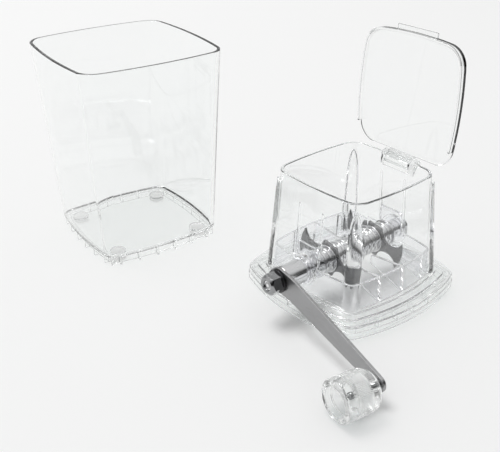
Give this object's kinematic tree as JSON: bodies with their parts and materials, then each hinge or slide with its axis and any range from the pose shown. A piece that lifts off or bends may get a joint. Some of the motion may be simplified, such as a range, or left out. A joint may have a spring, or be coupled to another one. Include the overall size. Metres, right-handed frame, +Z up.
{
  "type": "ice shaver with crank",
  "caption": "Hand-cranked ice shaver: clear hopper head with hinged lid, bladed rotor, crank arm and knob, standing beside the tall clear bin that it sits on in use.",
  "frame": {"origin": "on the table, at the middle of the head's lower collar, which drops into the bin's rim in use", "axes": "+Z up; +X along the rotor's shaft from the crank to the lid's hinge; +Y away from the knob's resting side"},
  "size_m": [0.2052, 0.3663, 0.1892],
  "materials": {
    "clear_acrylic": "gloss",
    "clear_insert": "gloss",
    "clear_bush": "gloss",
    "blade_steel": "satin",
    "bright_spacer": "polished",
    "shaft_steel": "polished",
    "arm_steel": "brushed",
    "knob": "gloss",
    "feet": "gloss"
  },
  "bodies": {
    "head": {"hopper_housing": "clear_acrylic", "ice_chamber": "clear_insert", "base_collar": "clear_insert", "bush_near": "clear_bush", "bush_far": "clear_bush", "hinge_pin": "shaft_steel"},
    "lid": {"lid": "clear_acrylic"},
    "crank": {"rotor_shaft": "shaft_steel", "drive_sleeve": "shaft_steel", "retaining_collar": "shaft_steel", "thrust_collar_near": "shaft_steel", "thrust_collar_far": "shaft_steel", "crank_arm": "arm_steel", "arm_washer": "shaft_steel", "crank_nut": "shaft_steel", "knob_pin": "shaft_steel", "blade_1": "blade_steel", "blade_2": "blade_steel", "spool_1": "bright_spacer", "spool_2": "bright_spacer", "spool_3": "bright_spacer", "spool_4": "bright_spacer"},
    "knob": {"crank_knob": "knob"},
    "bin": {"bin_body": "clear_acrylic", "bin_feet": "feet"}
  },
  "joints": [
    {"name": "lid_hinge", "type": "hinge", "parent": "head", "child": "lid", "pos_m": [0.0468, 0, 0.0936], "axis": [0, -1, 0], "range_deg": [0, 92.7]},
    {"name": "crank_turn", "type": "hinge", "parent": "head", "child": "crank", "pos_m": [0, 0, 0.0323], "axis": [1, 0, 0], "continuous": true},
    {"name": "knob_spin", "type": "hinge", "parent": "crank", "child": "knob", "pos_m": [-0.08579, -0.10757, 0.0147], "axis": [-0.9908, 0.1338, 0.0219], "continuous": true},
    {"name": "bin_lift", "type": "slide", "parent": "head", "child": "bin", "axis": [0, 0, 1], "range_m": [0, 0.15]}
  ]
}
